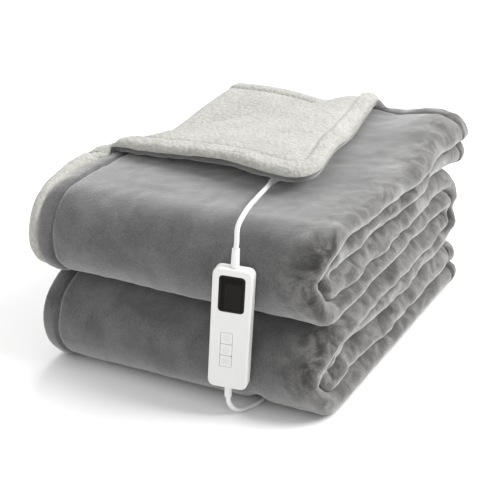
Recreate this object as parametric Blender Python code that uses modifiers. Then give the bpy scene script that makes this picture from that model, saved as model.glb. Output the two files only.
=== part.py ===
"""Folded electric heated throw with a corded hand control.

The throw is a sheet of grey plush and cream sherpa with a heating wire sewn between them. It is
folded in four across its width and in four along its length, and the corner that holds its
socket is turned back. The control's plug-in cord comes out from under that corner, and its
mains lead runs under the pile to a tied coil and a plug behind it.

X runs to the right along the front of the pile, the front faces -Y, and +Z is up. The origin is
on the floor under the middle of the pile. Every length is in metres.
"""

import math

import bmesh
import bpy
import numpy as np
from mathutils import Matrix, Vector, geometry

# Throw, laid flat
CLOTH_WIDTH = 1.300
CLOTH_LENGTH = 1.600
CLOTH_CORNER = 0.030
PLUSH_THICK = 0.0043
CARRIER_THICK = 0.0010
SHERPA_THICK = 0.0038
WIRE_RADIUS = 0.0009
WIRE_SPREAD = 0.066
GAP = 0.0003

# Pile
LAYER_GAP = 0.0004
STACK_GAP = 0.0006
BACK_RISE = 0.050
LAYER_STEPS = 4
STACK_STEPS = 6

# Corner turned back: crease distances and new place of the corner, from where the corner was
CREASE_DOWN_SIDE = 0.300
CREASE_ALONG_END = 0.2525
TIP_ACROSS = 0.2525
TIP_DOWN = 0.305
CREASE_RADIUS = 0.0105
CREASE_STEPS = 5
FLAP_CELL = 0.034
FLAP_REST = 0.0010

# Socket under the corner, and the connector that plugs into it
SOCKET_X = 0.051
SOCKET_Y = -0.030
SOCKET_SIZE = (0.026, 0.027, 0.0096)
SOCKET_WALL = 0.0018
SOCKET_DEPTH = 0.0136
CONNECTOR_SIZE = (0.022, 0.016, 0.0086)
NOSE_LENGTH = 0.0124
CONTACT_RADIUS = 0.0009
CONTACT_LENGTH = 0.0085
CONTACT_PITCH = 0.0052
ROOM_RADIUS = 0.040
ROOM_FADE = 0.055

# Cords
CORD_RADIUS = 0.0025
LEAD_X = 0.084
GROOVE_SPACE = 0.0012
GROOVE_BESIDE = 0.0017
GROOVE_SLOPE = 0.0098
DROP_STEPS = 5
COIL_ACROSS = 11
COIL_ROWS = 3
COIL_FLOOR = 0.0013
COIL_BEHIND = 0.054
COIL_TIE = 0.008
TIE_ANGLE = math.radians(215)
TAIL_STEPS = 8
TAIL_DIP = 0.57

# The output cord's way: share across to the control, share back from the front, height
OUTPUT_WAY = (
    (0.057, 0.918, -0.0005),
    (0.072, 0.824, -0.0020),
    (0.150, 0.687, -0.0024),
    (0.330, 0.541, -0.0004),
    (0.566, 0.386, 0.0031),
    (0.796, 0.240, 0.0063),
    (0.958, 0.112, 0.0073),
    (1.019, 0.017, 0.0048),
    (1.019, -0.056, -0.0014),
)

# Hand control
CASE_WIDTH = 0.040
CASE_LENGTH = 0.1275
CASE_DEPTH = 0.0138
CASE_CORNER = 0.007
CASE_EDGE = 0.0016
CASE_WALL = 0.0018
CASE_X = 0.0693
CASE_Z = 0.1008
CASE_YAW = math.radians(12.0)
CASE_TILT = math.radians(3.2)
WINDOW = (0.0257, 0.0376)
WINDOW_DROP = 0.007
WINDOW_CORNER = 0.0035
KEY_WIDTH = 0.0117
KEY_HEIGHT = 0.0120
KEY_SPACE = 0.0004
KEY_ASIDE = -0.0026
KEYS_DROP = 0.0670
KEY_PROUD = 0.0002
KEY_TRAVEL = 0.0006
BOARD = (0.033, 0.104)
BOARD_THICK = 0.0016
SCREW_ASIDE = 0.0135
SCREW_ALONG = 0.0573
SCREW_RADIUS = 0.0012
SCREW_LENGTH = 0.0075
SCREW_HEAD = 0.0024
SCREW_HEAD_TALL = 0.0016
SCREW_SINK = 0.0022
POST_RADIUS = 0.0031
PILLAR_RADIUS = 0.0040
GLASS_THICK = 0.0015
KEY_FLANGE = 0.0010
KEY_STEM = 0.0007
NECK_WALL = 0.0009
COLLAR_WALL = 0.0014
COLLAR_SPACE = 0.0002

# Cord grips: length outside the case, wall at its two ends there, length of the collar inside
OUTPUT_GRIP = (0.0190, 0.0015, 0.0009, 0.0022)
SUPPLY_GRIP = (0.0126, 0.0012, 0.0008, 0.0060)

# Boots: length, wall at the two ends
CONNECTOR_BOOT = (0.018, 0.0012, 0.0006)
PLUG_BOOT = (0.024, 0.0022, 0.0008)

# Plug
PLUG_X = -0.092
PLUG_BEHIND = 0.060
PLUG_SIZE = (0.046, 0.046, 0.020)
PIN_SPREAD = 0.0222
PIN_SINK = 0.008
PLUG_ENTRY = 0.0090

# What follows from the sizes above
CLOTH_THICK = PLUSH_THICK + CARRIER_THICK + SHERPA_THICK + 2 * WIRE_RADIUS + 3 * GAP
HALF_CLOTH = CLOTH_THICK / 2
LAYER_PITCH = CLOTH_THICK + LAYER_GAP
STACK_PITCH = 4 * LAYER_PITCH + STACK_GAP
PILE_WIDTH = (CLOTH_WIDTH + (6 - 1.5 * math.pi) * LAYER_PITCH) / 4
PILE_DEPTH = (CLOTH_LENGTH + (6 - 1.5 * math.pi) * STACK_PITCH) / 4
FLOOR = (STACK_GAP + LAYER_GAP) / 2
WIRE_LEVEL = HALF_CLOTH - PLUSH_THICK - CARRIER_THICK - 2 * GAP - WIRE_RADIUS
ROOM_LIFT = CLOTH_THICK + SOCKET_SIZE[2] + 0.0026
BORE = CORD_RADIUS + GAP
NECK_RADIUS = BORE + NECK_WALL
COLLAR_RADIUS = BORE + COLLAR_WALL
PARTING = CASE_WALL + COLLAR_SPACE + COLLAR_RADIUS
GROOVE_HEIGHT = 2 * CORD_RADIUS + GROOVE_SPACE
GROOVE_FLAT = CORD_RADIUS + GROOVE_BESIDE
GROOVE_FOOT = GROOVE_FLAT + GROOVE_SLOPE
TURN_RADIUS = COIL_ACROSS * CORD_RADIUS
COIL_HALF = COIL_ROWS * CORD_RADIUS
COIL_X = LEAD_X - TURN_RADIUS - COIL_HALF + CORD_RADIUS
COIL_Y = PILE_DEPTH / 2 + COIL_BEHIND
PLUG_Y = PILE_DEPTH / 2 + PLUG_BEHIND
CASE_Y = -PILE_DEPTH / 2 - GAP - CASE_WIDTH / 2 * math.sin(CASE_YAW)

# Materials: colour, roughness, metallic
FINISHES = {
    "grey_plush": ((0.115, 0.115, 0.12), 0.95, 0.0),
    "cream_sherpa": ((0.74, 0.73, 0.69), 1.0, 0.0),
    "nonwoven": ((0.62, 0.62, 0.60), 0.9, 0.0),
    "heating_wire": ((0.80, 0.78, 0.72), 0.6, 0.0),
    "white_plastic": ((0.78, 0.78, 0.76), 0.35, 0.0),
    "white_cord": ((0.80, 0.80, 0.80), 0.45, 0.0),
    "dark_glass": ((0.012, 0.011, 0.010), 0.08, 0.0),
    "board_green": ((0.02, 0.16, 0.07), 0.5, 0.0),
    "black_plastic": ((0.02, 0.02, 0.02), 0.45, 0.0),
    "steel": ((0.56, 0.56, 0.57), 0.3, 1.0),
    "brass": ((0.68, 0.50, 0.22), 0.3, 1.0),
    "fuse_ceramic": ((0.75, 0.73, 0.68), 0.4, 0.0),
}


# ---------------------------------------------------------------- scene helpers


def clear_scene():
    for thing in list(bpy.data.objects):
        bpy.data.objects.remove(thing, do_unlink=True)


def new_collection(name, hidden=False):
    collection = bpy.data.collections.new(name)
    bpy.context.scene.collection.children.link(collection)
    collection.hide_render = hidden
    return collection


def make_materials():
    made = {}
    for name, (colour, roughness, metallic) in FINISHES.items():
        material = bpy.data.materials.new(name)
        material.use_nodes = True
        shader = material.node_tree.nodes["Principled BSDF"]
        shader.inputs["Base Color"].default_value = (*colour, 1.0)
        shader.inputs["Roughness"].default_value = roughness
        shader.inputs["Metallic"].default_value = metallic
        material.diffuse_color = (*colour, 1.0)
        made[name] = material
    return made


def add_part(name, data, finish, parent=None):
    """Put a mesh or curve in the scene as one sub-part, in its own material."""
    part = bpy.data.objects.new(name, data)
    data.materials.append(MATERIALS[finish])
    PARTS.objects.link(part)
    part.parent = parent
    if part.type == "MESH":
        data.shade_smooth()
        data.set_sharp_from_angle(angle=math.radians(35))
    return part


def mesh_of(name, shape, turn_out=True):
    """Turn a bmesh into a mesh, with its faces facing out."""
    if turn_out:
        bmesh.ops.recalc_face_normals(shape, faces=shape.faces[:])
    mesh = bpy.data.meshes.new(name)
    shape.to_mesh(mesh)
    shape.free()
    return mesh


def add_modifier(part, kind, **settings):
    modifier = part.modifiers.new(kind.title(), kind)
    for key, value in settings.items():
        setattr(modifier, key, value)
    return modifier


def combine(part, operation, meshes):
    """Cut hidden helper meshes from a part, or join them to it."""
    for number, mesh in enumerate(meshes):
        helper = bpy.data.objects.new(f"{part.name}_{operation.lower()}_{number}", mesh)
        CUTTERS.objects.link(helper)
        helper.parent = part
        helper.hide_render = True
        helper.display_type = "WIRE"
        add_modifier(part, "BOOLEAN", operation=operation, object=helper, solver="EXACT")


def block(size, centre=(0, 0, 0), axis=1, corner=0.0, edge=0.0, edge_side=0, steps=3):
    """A box with the edges along one axis rounded by corner, and the rim of one end by edge."""
    shape = bmesh.new()
    bmesh.ops.create_cube(shape, size=1.0)
    bmesh.ops.scale(shape, vec=size, verts=shape.verts[:])
    if corner:
        along = [e for e in shape.edges if abs((e.verts[0].co - e.verts[1].co)[axis]) > 1e-6]
        bmesh.ops.bevel(shape, geom=along, offset=corner, segments=steps, affect="EDGES", profile=0.5)
    if edge:
        end = edge_side * size[axis] / 2
        rim = [e for e in shape.edges if all(abs(v.co[axis] - end) < 1e-6 for v in e.verts)]
        bmesh.ops.bevel(shape, geom=rim, offset=edge, segments=2, affect="EDGES", profile=0.5)
    bmesh.ops.translate(shape, vec=centre, verts=shape.verts[:])
    return mesh_of("block", shape)


def cylinder(radius, low, high, centre=(0, 0), axis=2, sides=16):
    """A solid cylinder along one axis from low to high, at centre on the other two axes."""
    shape = bmesh.new()
    ends = {"radius1": radius, "radius2": radius, "depth": high - low}
    bmesh.ops.create_cone(shape, cap_ends=True, segments=sides, **ends)
    bmesh.ops.translate(shape, vec=(0, 0, (low + high) / 2), verts=shape.verts[:])
    if axis == 1:
        bmesh.ops.rotate(shape, matrix=Matrix.Rotation(-math.pi / 2, 3, "X"), verts=shape.verts[:])
        move = (centre[0], 0, centre[1])
    elif axis == 0:
        bmesh.ops.rotate(shape, matrix=Matrix.Rotation(math.pi / 2, 3, "Y"), verts=shape.verts[:])
        move = (0, centre[0], centre[1])
    else:
        move = (centre[0], centre[1], 0)
    bmesh.ops.translate(shape, vec=move, verts=shape.verts[:])
    return mesh_of("cylinder", shape)


def add_turned(name, profile, finish, parent=None, closed=False, steps=16):
    """A shape turned about Z from (radius, height) points that run down its outer side."""
    mesh = bpy.data.meshes.new(name)
    edges = [(i, i + 1) for i in range(len(profile) - 1)]
    if closed:
        edges.append((len(profile) - 1, 0))
    mesh.from_pydata([(radius, 0, height) for radius, height in profile], edges, [])
    part = add_part(name, mesh, finish, parent)
    turn = {"steps": steps, "render_steps": steps, "merge_threshold": 0.00001}
    add_modifier(part, "SCREW", use_merge_vertices=True, **turn)
    return part


def add_tube(name, points, radius, finish, sides=2):
    """A round cord, wire or lead along points."""
    curve = bpy.data.curves.new(name, "CURVE")
    curve.dimensions = "3D"
    curve.bevel_depth = radius
    curve.bevel_resolution = sides
    curve.use_fill_caps = True
    spline = curve.splines.new("POLY")
    spline.points.add(len(points) - 1)
    for place, point in zip(spline.points, points):
        place.co = (*point, 1.0)
    return add_part(name, curve, finish)


def smooth_route(route, spacing):
    """Points a spacing apart along a natural cubic spline through the route's points."""
    knots = np.array([tuple(point) for point in route], float)
    reach = np.r_[0.0, np.cumsum(np.linalg.norm(np.diff(knots, axis=0), axis=1))]
    step = np.diff(reach)
    count = len(knots)
    matrix = np.eye(count)
    right = np.zeros_like(knots)
    for i in range(1, count - 1):
        matrix[i, i - 1 : i + 2] = step[i - 1], 2 * (step[i - 1] + step[i]), step[i]
        slopes = np.diff(knots[i - 1 : i + 2], axis=0) / step[i - 1 : i + 1, None]
        right[i] = 6 * (slopes[1] - slopes[0])
    bend = np.linalg.solve(matrix, right)
    fine = []
    for i in range(count - 1):
        part = np.linspace(0, 1, 40, endpoint=i == count - 2)[:, None]
        line = (1 - part) * knots[i] + part * knots[i + 1]
        cubic = ((1 - part) ** 3 - (1 - part)) * bend[i] + (part**3 - part) * bend[i + 1]
        fine.append(line + cubic * step[i] ** 2 / 6)
    fine = np.concatenate(fine)
    run = np.r_[0.0, np.cumsum(np.linalg.norm(np.diff(fine, axis=0), axis=1))]
    even = np.linspace(0, run[-1], max(2, round(run[-1] / spacing) + 1))
    return [Vector([np.interp(s, run, fine[:, k]) for k in range(3)]) for s in even]


# ---------------------------------------------------------------- folding the cloth


def zigzag(along, offset, span, pitch):
    """Place a point of a strip that is folded in four, from its start side.

    The strip runs away from its start side at the top, and turns down and back three times.
    Gives its distance from the start side and its height.
    """
    fold = math.pi * pitch / 2
    panels = (span - pitch, span - 2 * pitch, span - 2 * pitch, span - pitch)
    for number, panel in enumerate(panels):
        outward = number % 2 == 0
        level = (3.5 - number) * pitch
        if along <= panel or number == 3:
            if number == 0:
                return along, level + offset
            start = pitch if outward else span - pitch
            place = start + along if outward else start - along
            return place, level + (offset if outward else -offset)
        along -= panel
        if along < fold:
            radius = pitch / 2 + (offset if outward else -offset)
            angle = 2 * along / pitch
            centre = span - pitch if outward else pitch
            sideways = radius * math.sin(angle)
            place = centre + (sideways if outward else -sideways)
            return place, level - pitch / 2 + radius * math.cos(angle)
        along -= fold


def bend_lines(span, pitch, steps):
    """Where a strip that zigzag folds has its bends, as distances along it."""
    lines = []
    start = span - pitch
    for _ in range(3):
        lines += [start + math.pi * pitch / 2 * step / steps for step in range(steps + 1)]
        start += math.pi * pitch / 2 + span - 2 * pitch
    return lines


def strip_places(place, span, pitch):
    """The four distances along a folded strip that lie this far from its start side."""
    panel = span - 2 * pitch + math.pi * pitch / 2
    turn = span - pitch + math.pi * pitch / 2
    back = turn + (span - pitch - place)
    return [place, back, 2 * panel + place, 2 * panel + back]


CREASE_START = Vector((0.0, CREASE_DOWN_SIDE))
CREASE_ALONG = (Vector((CREASE_ALONG_END, 0.0)) - CREASE_START).normalized()
CREASE_OUT = Vector((CREASE_ALONG.y, -CREASE_ALONG.x))
CORNER_PAST = -CREASE_START.dot(CREASE_OUT)
TIP = Vector((TIP_ACROSS, TIP_DOWN)) - CREASE_START
TIP_SLIDE = TIP.dot(CREASE_ALONG) + CREASE_START.dot(CREASE_ALONG)
CREASE_BEND = math.pi * CREASE_RADIUS
FLAP_STRETCH = -TIP.dot(CREASE_OUT) / (CORNER_PAST - CREASE_BEND)


def smooth_step(value):
    value = min(1.0, max(0.0, value))
    return value * value * (3 - 2 * value)


def flap_lift(place, past):
    """How high the turned-back corner's middle lies over that of the layer under it."""
    low = LAYER_PITCH + FLAP_REST
    rest = 2 * CREASE_RADIUS + (low - 2 * CREASE_RADIUS) * smooth_step((past - CREASE_BEND) / 0.06)
    x = place.x - PILE_WIDTH / 2
    y = PILE_DEPTH / 2 - place.y
    to_socket = max(0.0, abs(y - SOCKET_Y + 0.040) - 0.020)
    away = math.hypot(x - SOCKET_X, to_socket)
    room = 1 - smooth_step((away - ROOM_RADIUS) / ROOM_FADE)
    return rest + (ROOM_LIFT - rest) * room


def turn_back(across, down, offset):
    """Fold the top layer's corner over its diagonal crease."""
    point = Vector((across, down)) - CREASE_START
    along = point.dot(CREASE_ALONG)
    past = point.dot(CREASE_OUT)
    if past <= 0:
        return across, down, offset
    along += TIP_SLIDE * past / CORNER_PAST
    if past < CREASE_BEND:
        angle = past / CREASE_RADIUS
        out = (CREASE_RADIUS - offset) * math.sin(angle)
        height = CREASE_RADIUS - (CREASE_RADIUS - offset) * math.cos(angle)
        place = CREASE_START + CREASE_ALONG * along + CREASE_OUT * out
        return place.x, place.y, height
    out = -(past - CREASE_BEND) * FLAP_STRETCH
    place = CREASE_START + CREASE_ALONG * along + CREASE_OUT * out
    return place.x, place.y, flap_lift(place, past) - offset


def unturn(across, down):
    """The point of the flat cloth that the turned-back corner carries to this place."""
    point = Vector((across, down)) - CREASE_START
    past = CREASE_BEND - point.dot(CREASE_OUT) / FLAP_STRETCH
    along = point.dot(CREASE_ALONG) - TIP_SLIDE * past / CORNER_PAST
    place = CREASE_START + CREASE_ALONG * along + CREASE_OUT * past
    return place.x, place.y


def settle(x, y, z):
    """Let the pile down onto the floor and the mains lead, with its back a little higher."""
    z -= FLOOR
    over = (GROOVE_FOOT - abs(x - LEAD_X)) / (GROOVE_FOOT - GROOVE_FLAT)
    z += GROOVE_HEIGHT * min(1.0, max(0.0, over)) * max(0.0, 1 - z / (STACK_PITCH - FLOOR))
    return Vector((x, y, z * (1 + BACK_RISE * (y / PILE_DEPTH + 0.5))))


def fold(across, down, offset):
    """Carry a point of the flat cloth to its place in the pile.

    across and down are its distances from the corner that is turned back, and offset is its
    height over the cloth's middle, on the plush side.
    """
    if across < PILE_WIDTH - LAYER_PITCH and down < PILE_DEPTH - STACK_PITCH:
        across, down, offset = turn_back(across, down, offset)
    place, height = zigzag(across, offset, PILE_WIDTH, LAYER_PITCH)
    out, z = zigzag(down, height - 2 * LAYER_PITCH, PILE_DEPTH, STACK_PITCH)
    return settle(place - PILE_WIDTH / 2, PILE_DEPTH / 2 - out, z)


def top_of_pile(y):
    """Height of the top layer's plush at y, behind the front roll."""
    return settle(0, y, 4 * STACK_PITCH - FLOOR).z


# ---------------------------------------------------------------- the throw


def cut_cloth(cloth, point, normal, inside=None):
    """Add a line of edges to the flat cloth, over all of it or only where inside says."""
    faces = [f for f in cloth.faces if inside is None or inside(f.calc_center_median())]
    edges = dict.fromkeys(e for f in faces for e in f.edges)
    points = dict.fromkeys(v for f in faces for v in f.verts)
    pieces = [*points, *edges, *faces]
    plane = {"plane_co": (*point, 0), "plane_no": (*normal, 0)}
    bmesh.ops.bisect_plane(cloth, geom=pieces, dist=0.000001, **plane)


def past_crease(point):
    return (Vector((point.x, point.y)) - CREASE_START).dot(CREASE_OUT)


def split_quads(cloth):
    """Split each four-sided cell from its nearest to its farthest corner in the folded pile."""
    for face in [f for f in cloth.faces if len(f.verts) == 4]:
        places = [(zigzag(v.co.x, 0, PILE_WIDTH, LAYER_PITCH)[0] + v.co.y, v) for v in face.verts]
        places.sort(key=lambda place: place[0])
        first, last = places[0][1], places[3][1]
        if not any(first in e.verts and last in e.verts for e in face.edges):
            bmesh.utils.face_split(face, first, last)
    bmesh.ops.triangulate(cloth, faces=cloth.faces[:])


def flat_cloth():
    """The cloth laid flat as one thin mesh, with an edge along every line where it bends."""
    cloth = bmesh.new()
    bmesh.ops.create_grid(cloth, x_segments=1, y_segments=1, size=0.5)
    bmesh.ops.scale(cloth, vec=(CLOTH_WIDTH, CLOTH_LENGTH, 1), verts=cloth.verts[:])
    bmesh.ops.translate(cloth, vec=(CLOTH_WIDTH / 2, CLOTH_LENGTH / 2, 0), verts=cloth.verts[:])
    corners = {"offset": CLOTH_CORNER, "segments": 4, "affect": "VERTICES", "profile": 0.5}
    bmesh.ops.bevel(cloth, geom=cloth.verts[:], **corners)
    for line in bend_lines(PILE_WIDTH, LAYER_PITCH, LAYER_STEPS):
        cut_cloth(cloth, (line, 0), (1, 0))
    stack_lines = bend_lines(PILE_DEPTH, STACK_PITCH, STACK_STEPS)
    for line in stack_lines:
        cut_cloth(cloth, (0, line), (0, 1))
    for step in range(CREASE_STEPS + 1):
        point = CREASE_START + CREASE_OUT * (CREASE_BEND * step / CREASE_STEPS)
        cut_cloth(cloth, point, CREASE_OUT)
    rows = math.floor((CORNER_PAST - CREASE_BEND) / FLAP_CELL)
    for row in range(1, rows + 1):
        point = CREASE_START + CREASE_OUT * (CREASE_BEND + FLAP_CELL * row)
        cut_cloth(cloth, point, CREASE_OUT)
    for column in range(2, math.ceil(CREASE_DOWN_SIDE / FLAP_CELL) + 2):
        point = CREASE_START + CREASE_ALONG * (FLAP_CELL * column)
        cut_cloth(cloth, point, CREASE_ALONG, lambda c: past_crease(c) > CREASE_BEND)
    under = stack_lines[-1] - math.pi * STACK_PITCH / 4
    for aside in (-GROOVE_FOOT, -GROOVE_FLAT, GROOVE_FLAT, GROOVE_FOOT):
        place = LEAD_X + aside + PILE_WIDTH / 2
        for line in strip_places(place, PILE_WIDTH, LAYER_PITCH):
            cut_cloth(cloth, (line, 0), (1, 0), lambda c: c.y > under)
    split_quads(cloth)
    return cloth


def add_cloth(name, flat, low, high, finish):
    """One cloth of the throw, between two heights over the throw's middle, folded up."""
    cloth = flat.copy()
    made = bmesh.ops.extrude_face_region(cloth, geom=cloth.faces[:])["geom"]
    raised = {v for v in made if isinstance(v, bmesh.types.BMVert)}
    for vertex in cloth.verts:
        vertex.co.z = high if vertex in raised else low
    bmesh.ops.recalc_face_normals(cloth, faces=cloth.faces[:])
    # Folding measures down the cloth towards -Y, which mirrors it.
    bmesh.ops.reverse_faces(cloth, faces=cloth.faces[:])
    for vertex in cloth.verts:
        vertex.co = fold(*vertex.co)
    return add_part(name, mesh_of(name, cloth, turn_out=False), finish)


def rounded_corners(route, radius, steps=3):
    """A flat route with each corner cut back to an arc."""
    points = [Vector(route[0])]
    for before, corner, after in zip(route, route[1:], route[2:]):
        corner = Vector(corner)
        start = corner + (Vector(before) - corner).normalized() * radius
        end = corner + (Vector(after) - corner).normalized() * radius
        for step in range(steps + 1):
            part = step / steps
            inner = start.lerp(corner, part).lerp(corner.lerp(end, part), part)
            points.append(inner)
    return points + [Vector(route[-1])]


def flap_triangles(flat):
    """The flat cloth's triangles past the crease, as their corners."""
    faces = [f for f in flat.faces if past_crease(f.calc_center_median()) > 0]
    return [[vertex.co.copy() for vertex in face.verts] for face in faces]


def with_bends(route, triangles):
    """A flat route with a point added wherever it crosses a line where the cloth bends."""
    lines = [(Vector((1, 0)), place) for place in bend_lines(PILE_WIDTH, LAYER_PITCH, LAYER_STEPS)]
    lines += [(Vector((0, 1)), place) for place in bend_lines(PILE_DEPTH, STACK_PITCH, STACK_STEPS)]
    crease = CREASE_START.dot(CREASE_OUT)
    for step in range(CREASE_STEPS + 1):
        lines.append((CREASE_OUT, crease + CREASE_BEND * step / CREASE_STEPS))
    points = [route[0]]
    for start, end in zip(route, route[1:]):
        shares = {1.0}
        for normal, place in lines:
            low, high = start.dot(normal) - place, end.dot(normal) - place
            if low * high < -1e-12:
                shares.add(round(low / (low - high), 6))
        for corners in triangles:
            for one, other in zip(corners, corners[1:] + corners[:1]):
                met = geometry.intersect_line_line_2d(start, end, one.xy, other.xy)
                if met:
                    shares.add(round((met - start).length / (end - start).length, 6))
        shares.discard(0.0)
        points += [start.lerp(end, share) for share in sorted(shares)]
    return points


def wire_place(point, triangles):
    """Where a point of the flat wire comes to lie between the folded cloths."""
    if past_crease(point) > 0:
        for corners in triangles:
            if geometry.intersect_point_tri_2d(point, *[corner.xy for corner in corners]):
                folded = [fold(corner.x, corner.y, WIRE_LEVEL) for corner in corners]
                return geometry.barycentric_transform(point.to_3d(), *corners, *folded)
    return fold(point.x, point.y, WIRE_LEVEL)


def add_heating_wire(flat):
    """One wire that starts at the socket, runs up and down the throw eight times and returns."""
    left, right = PILE_WIDTH / 2 - WIRE_SPREAD, PILE_WIDTH / 2 + WIRE_SPREAD
    lefts = strip_places(left, PILE_WIDTH, LAYER_PITCH)
    rights = strip_places(right, PILE_WIDTH, LAYER_PITCH)
    passes = sorted(lefts + rights)
    top, bottom, return_line = 0.075, CLOTH_LENGTH - 0.060, 0.040
    socket = unturn(SOCKET_X + PILE_WIDTH / 2, PILE_DEPTH / 2 - SOCKET_Y)
    route = [(socket[0] + 0.004, socket[1] + 0.012), (passes[0], socket[1] + 0.070)]
    for number, place in enumerate(passes):
        ends = (top, bottom) if number % 2 == 0 else (bottom, top)
        if number:
            route.append((place, ends[0]))
        route.append((place, ends[1]))
    route[-1] = (passes[-1], return_line)
    route.append((socket[0] + 0.030, return_line))
    route.append((socket[0] + 0.010, socket[1] + 0.002))
    triangles = flap_triangles(flat)
    run = with_bends(rounded_corners(route, 0.012), triangles)
    points = [wire_place(point, triangles) for point in run]
    return add_tube("heating_wire", points, WIRE_RADIUS, "heating_wire", sides=0)


def build_throw():
    flat = flat_cloth()
    plush_low = HALF_CLOTH - PLUSH_THICK
    add_cloth("plush_face", flat, plush_low, HALF_CLOTH, "grey_plush")
    carrier_low = plush_low - GAP - CARRIER_THICK
    add_cloth("heating_carrier", flat, carrier_low, plush_low - GAP, "nonwoven")
    add_cloth("sherpa_lining", flat, -HALF_CLOTH, SHERPA_THICK - HALF_CLOTH, "cream_sherpa")
    add_heating_wire(flat)
    flat.free()


# ---------------------------------------------------------------- socket and connector


def contact_places():
    return [(CONTACT_PITCH * step, name) for step, name in ((-1, "left"), (0, "middle"), (1, "right"))]


def build_socket(base):
    """The socket sewn under the turned-back corner, open to the front."""
    width, depth, height = SOCKET_SIZE
    front = SOCKET_Y - depth
    level = base + height / 2
    housing = add_part(
        "socket_housing",
        block(SOCKET_SIZE, (SOCKET_X, SOCKET_Y - depth / 2, level), axis=2, corner=0.003),
        "white_plastic",
    )
    inside = (width - 4 * SOCKET_WALL, SOCKET_DEPTH + 0.002, height - 2 * SOCKET_WALL)
    mouth = front + SOCKET_DEPTH - inside[1] / 2
    holes = [block(inside, (SOCKET_X, mouth, level), axis=1, corner=0.0012, steps=2)]
    for aside, _ in contact_places():
        end = front + SOCKET_DEPTH - 0.001
        hole = cylinder(CONTACT_RADIUS + GAP, end, SOCKET_Y + 0.001, (SOCKET_X + aside, level), axis=1)
        holes.append(hole)
    combine(housing, "DIFFERENCE", holes)
    pin_front = front + SOCKET_DEPTH - CONTACT_LENGTH
    for aside, name in contact_places():
        pin = cylinder(CONTACT_RADIUS, pin_front, SOCKET_Y, (SOCKET_X + aside, level), axis=1, sides=12)
        add_part(f"socket_pin_{name}", pin, "brass")
    return front, level


def build_connector(socket_front, level):
    """The plug-in connector, with its nose in the socket and its cord bore to the front."""
    width, depth, height = CONNECTOR_SIZE
    back = socket_front - GAP
    front = back - depth
    shell = add_part(
        "connector_shell",
        block(CONNECTOR_SIZE, (SOCKET_X, back - depth / 2, level), axis=2, corner=0.003),
        "white_plastic",
    )
    nose_size = (
        SOCKET_SIZE[0] - 4 * SOCKET_WALL - 2 * GAP,
        NOSE_LENGTH + 0.002,
        SOCKET_SIZE[2] - 2 * SOCKET_WALL - 2 * GAP,
    )
    nose_centre = (SOCKET_X, back + NOSE_LENGTH - nose_size[1] / 2, level)
    combine(shell, "UNION", [block(nose_size, nose_centre, axis=1, corner=0.0010, steps=2)])
    holes = []
    for aside, _ in contact_places():
        deep = back + NOSE_LENGTH - CONTACT_LENGTH - 0.001
        place = (SOCKET_X + aside, level)
        holes.append(cylinder(CONTACT_RADIUS + GAP, deep, back + NOSE_LENGTH + 0.001, place, axis=1))
    cord_hole = (SOCKET_X, level)
    holes.append(cylinder(BORE, front - 0.001, front + 0.008, cord_hole, axis=1))
    combine(shell, "DIFFERENCE", holes)
    boot = add_turned("connector_boot", boot_profile(*CONNECTOR_BOOT), "white_cord", closed=True)
    boot.matrix_world = Matrix.Translation((SOCKET_X, front - GAP, level)) @ Matrix.Rotation(
        math.pi / 2, 4, "X"
    )
    return front


def boot_profile(length, thick, thin):
    """A tapered sleeve that runs up from height 0, as a closed profile."""
    return [(BORE + thin, length), (BORE + thick, 0.0), (BORE, 0.0), (BORE, length)]


# ---------------------------------------------------------------- hand control


def control_frame():
    """An empty at the middle of the control's back, facing the front, turned and tilted."""
    frame = bpy.data.objects.new("control_frame", None)
    PARTS.objects.link(frame)
    turn = Matrix.Rotation(CASE_YAW, 4, "Z") @ Matrix.Rotation(CASE_TILT, 4, "Y")
    frame.matrix_world = Matrix.Translation((CASE_X, CASE_Y, CASE_Z)) @ turn
    return frame


def screw_places():
    return [(x * SCREW_ASIDE, z * SCREW_ALONG) for z in (1, -1) for x in (-1, 1)]


def build_front_case(frame):
    """The front shell, with its window, its row of keys, screw posts and cord notches."""
    depth = CASE_DEPTH - PARTING - GAP / 2
    face = -CASE_DEPTH
    size = (CASE_WIDTH, depth, CASE_LENGTH)
    outer = block(size, (0, face + depth / 2, 0), 1, CASE_CORNER, CASE_EDGE, -1, steps=6)
    case = add_part("front_case", outer, "white_plastic", frame)
    hollow = (CASE_WIDTH - 2 * CASE_WALL, depth, CASE_LENGTH - 2 * CASE_WALL)
    middle = face + CASE_WALL + depth / 2
    combine(case, "DIFFERENCE", [block(hollow, (0, middle, 0), 1, CASE_CORNER - CASE_WALL)])
    posts = []
    for place in screw_places():
        posts.append(cylinder(POST_RADIUS, face + CASE_WALL / 2, -PARTING - GAP, place, axis=1))
    combine(case, "UNION", posts)
    window = (WINDOW[0] + 2 * GAP, 4 * CASE_WALL, WINDOW[1] + 2 * GAP)
    keys = (KEY_WIDTH + 2 * GAP, 4 * CASE_WALL, 3 * KEY_HEIGHT + 2 * KEY_SPACE + 2 * GAP)
    holes = [
        block(window, (0, face, window_middle()), 1, WINDOW_CORNER + GAP),
        block(keys, (KEY_ASIDE, face, key_middle(1)), 1, 0.0012, steps=2),
    ]
    for place in screw_places():
        holes.append(cylinder(SCREW_RADIUS + GAP, face + CASE_WALL, 0, place, axis=1, sides=12))
    combine(case, "DIFFERENCE", holes + cord_notches())


def cord_notches():
    """Round cutters where the two grips pass through the end walls."""
    neck = NECK_RADIUS + GAP
    top = CASE_LENGTH / 2
    place = (0, -PARTING)
    return [
        cylinder(neck, top - 2 * CASE_WALL, top + 0.002, place),
        cylinder(neck, -top - 0.002, 2 * CASE_WALL - top, place),
    ]


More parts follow.
